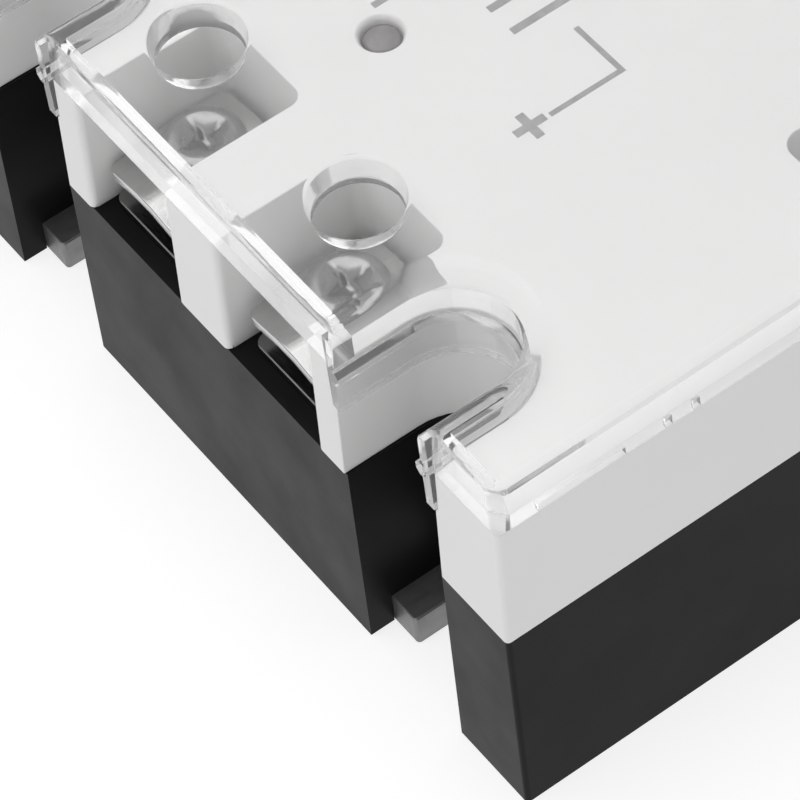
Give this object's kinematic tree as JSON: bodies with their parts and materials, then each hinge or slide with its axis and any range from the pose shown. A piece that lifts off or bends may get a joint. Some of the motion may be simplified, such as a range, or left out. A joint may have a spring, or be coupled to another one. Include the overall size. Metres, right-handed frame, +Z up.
{
  "type": "solid state relay",
  "caption": "Box-shaped panel-mount three-phase solid state relay: black base, white top with recessed screw terminals, clear clip-on cover, metal plate and open U mounting notches.",
  "frame": {"origin": "centre of the underside of the base plate", "axes": "+Z up, away from the mounting face; +X along the long side, from the control terminals at -X to the plain end; +Y completes a right-handed frame, so the power terminals are at -Y and +Y"},
  "size_m": [0.105, 0.074, 0.036],
  "materials": {
    "black_case": "finely textured black moulded plastic",
    "white_case": "satin off-white moulded plastic",
    "clear_plastic": "clear polished plastic",
    "base_metal": "bare plate with sheared edges",
    "steel_screws": "zinc plated",
    "strap_metal": "nickel plated",
    "clamp_metal": "bright nickel plated",
    "screw_metal": "bright nickel plated",
    "board_laminate": "green solder mask",
    "led_lens": "diffused lens",
    "tinned_wire": "tinned",
    "chip_epoxy": "moulded epoxy",
    "resistor_body": "lacquered",
    "capacitor_case": "moulded case",
    "varistor_coating": "epoxy dipped",
    "capacitor_can": "sleeved can",
    "ceramic_plate": "fired alumina",
    "copper": "bare",
    "silicon": "polished",
    "casting_resin": "cast resin"
  },
  "bodies": {
    "housing": {"lower_housing": "black_case", "upper_housing": "white_case", "base_plate": "base_metal", "base_screws": "steel_screws", "input_straps": "strap_metal", "output_straps": "strap_metal", "input_nuts": "strap_metal", "output_nuts": "strap_metal", "circuit_board": "board_laminate", "led": "led_lens", "led_leads": "tinned_wire", "optocouplers": "chip_epoxy", "resistors": "resistor_body", "snubber_capacitors": "capacitor_case", "varistors": "varistor_coating", "input_regulator": "chip_epoxy", "input_capacitor": "capacitor_can", "ceramic_insulators": "ceramic_plate", "copper_pads": "copper", "thyristor_chips": "silicon", "potting": "casting_resin"},
    "cover": {"clear_cover": "clear_plastic"},
    "clamp_in_minus": {"clamp_in_minus": "clamp_metal"},
    "screw_in_minus": {"screw_in_minus": "screw_metal"},
    "clamp_in_plus": {"clamp_in_plus": "clamp_metal"},
    "screw_in_plus": {"screw_in_plus": "screw_metal"},
    "clamp_line_1": {"clamp_line_1": "clamp_metal"},
    "screw_line_1": {"screw_line_1": "screw_metal"},
    "clamp_line_2": {"clamp_line_2": "clamp_metal"},
    "screw_line_2": {"screw_line_2": "screw_metal"},
    "clamp_line_3": {"clamp_line_3": "clamp_metal"},
    "screw_line_3": {"screw_line_3": "screw_metal"},
    "clamp_load_1": {"clamp_load_1": "clamp_metal"},
    "screw_load_1": {"screw_load_1": "screw_metal"},
    "clamp_load_2": {"clamp_load_2": "clamp_metal"},
    "screw_load_2": {"screw_load_2": "screw_metal"},
    "clamp_load_3": {"clamp_load_3": "clamp_metal"},
    "screw_load_3": {"screw_load_3": "screw_metal"}
  },
  "joints": [
    {"name": "cover_lift", "type": "slide", "parent": "housing", "child": "cover", "axis": [0, 0, 1], "range_m": [0, 0.03]},
    {"name": "lift_in_minus", "type": "slide", "parent": "housing", "child": "clamp_in_minus", "axis": [0, 0, 1], "range_m": [-0.0021, 0.0015]},
    {"name": "turn_in_minus", "type": "hinge", "parent": "clamp_in_minus", "child": "screw_in_minus", "pos_m": [-0.045, 0.009, 0.02], "axis": [0, 0, 1], "range_deg": [-1261, 901]},
    {"name": "lift_in_plus", "type": "slide", "parent": "housing", "child": "clamp_in_plus", "axis": [0, 0, 1], "range_m": [-0.0021, 0.0015]},
    {"name": "turn_in_plus", "type": "hinge", "parent": "clamp_in_plus", "child": "screw_in_plus", "pos_m": [-0.045, -0.009, 0.02], "axis": [0, 0, 1], "range_deg": [-1261, 901]},
    {"name": "lift_line_1", "type": "slide", "parent": "housing", "child": "clamp_line_1", "axis": [0, 0, 1], "range_m": [-0.0019, 0.00148]},
    {"name": "turn_line_1", "type": "hinge", "parent": "clamp_line_1", "child": "screw_line_1", "pos_m": [-0.0087, -0.0296, 0.02], "axis": [0, 0, 1], "range_deg": [-856, 667]},
    {"name": "lift_line_2", "type": "slide", "parent": "housing", "child": "clamp_line_2", "axis": [0, 0, 1], "range_m": [-0.0019, 0.00148]},
    {"name": "turn_line_2", "type": "hinge", "parent": "clamp_line_2", "child": "screw_line_2", "pos_m": [0.0108, -0.0296, 0.02], "axis": [0, 0, 1], "range_deg": [-856, 667]},
    {"name": "lift_line_3", "type": "slide", "parent": "housing", "child": "clamp_line_3", "axis": [0, 0, 1], "range_m": [-0.0019, 0.00148]},
    {"name": "turn_line_3", "type": "hinge", "parent": "clamp_line_3", "child": "screw_line_3", "pos_m": [0.0303, -0.0296, 0.02], "axis": [0, 0, 1], "range_deg": [-856, 667]},
    {"name": "lift_load_1", "type": "slide", "parent": "housing", "child": "clamp_load_1", "axis": [0, 0, 1], "range_m": [-0.0019, 0.00148]},
    {"name": "turn_load_1", "type": "hinge", "parent": "clamp_load_1", "child": "screw_load_1", "pos_m": [-0.0087, 0.0296, 0.02], "axis": [0, 0, 1], "range_deg": [-856, 667]},
    {"name": "lift_load_2", "type": "slide", "parent": "housing", "child": "clamp_load_2", "axis": [0, 0, 1], "range_m": [-0.0019, 0.00148]},
    {"name": "turn_load_2", "type": "hinge", "parent": "clamp_load_2", "child": "screw_load_2", "pos_m": [0.0108, 0.0296, 0.02], "axis": [0, 0, 1], "range_deg": [-856, 667]},
    {"name": "lift_load_3", "type": "slide", "parent": "housing", "child": "clamp_load_3", "axis": [0, 0, 1], "range_m": [-0.0019, 0.00148]},
    {"name": "turn_load_3", "type": "hinge", "parent": "clamp_load_3", "child": "screw_load_3", "pos_m": [0.0303, 0.0296, 0.02], "axis": [0, 0, 1], "range_deg": [-856, 667]}
  ],
  "couplings": [
    {"joint": "turn_in_minus", "follows": "lift_in_minus", "rad_per_m": 10472},
    {"joint": "turn_in_plus", "follows": "lift_in_plus", "rad_per_m": 10472},
    {"joint": "turn_line_1", "follows": "lift_line_1", "rad_per_m": 7854},
    {"joint": "turn_line_2", "follows": "lift_line_2", "rad_per_m": 7854},
    {"joint": "turn_line_3", "follows": "lift_line_3", "rad_per_m": 7854},
    {"joint": "turn_load_1", "follows": "lift_load_1", "rad_per_m": 7854},
    {"joint": "turn_load_2", "follows": "lift_load_2", "rad_per_m": 7854},
    {"joint": "turn_load_3", "follows": "lift_load_3", "rad_per_m": 7854}
  ]
}
